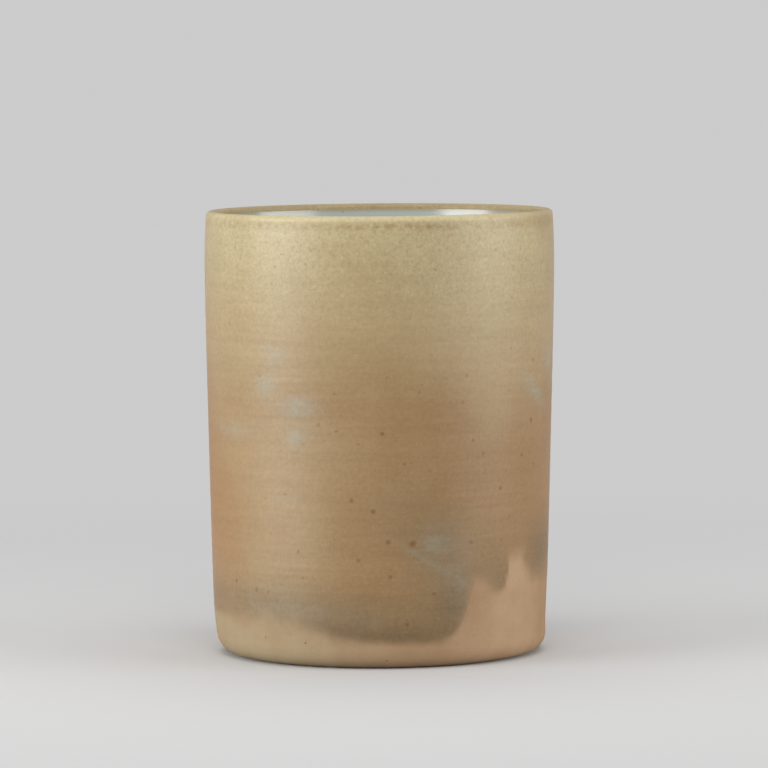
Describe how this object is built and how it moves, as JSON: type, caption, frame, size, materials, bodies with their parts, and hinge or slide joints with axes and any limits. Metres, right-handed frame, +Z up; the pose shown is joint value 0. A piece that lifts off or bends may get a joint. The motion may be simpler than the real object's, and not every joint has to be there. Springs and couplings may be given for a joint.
{
  "type": "ceramic tumbler cup",
  "caption": "Straight-sided stoneware tumbler without a handle: rounded lip, glossy pale glaze inside, matt speckled slip outside with a lobed edge above a bare clay foot.",
  "frame": {"origin": "centre of the foot, on the plane that the cup stands on", "axes": "+Z up along the axis that the cup was turned about; -Y is the pictured front and +X its right"},
  "size_m": [0.0808, 0.0808, 0.1023],
  "materials": {
    "stoneware": "bare fired clay, matt, with fine trimming lines",
    "liner_glaze": "glossy pale blue-white glaze",
    "slip": "thin matt slip, flashed yellow near the lip and tan below, with dark iron specks"
  },
  "bodies": {
    "root": {"stoneware_body": "stoneware", "liner_glaze": "liner_glaze", "slip_coat": "slip"}
  },
  "joints": []
}
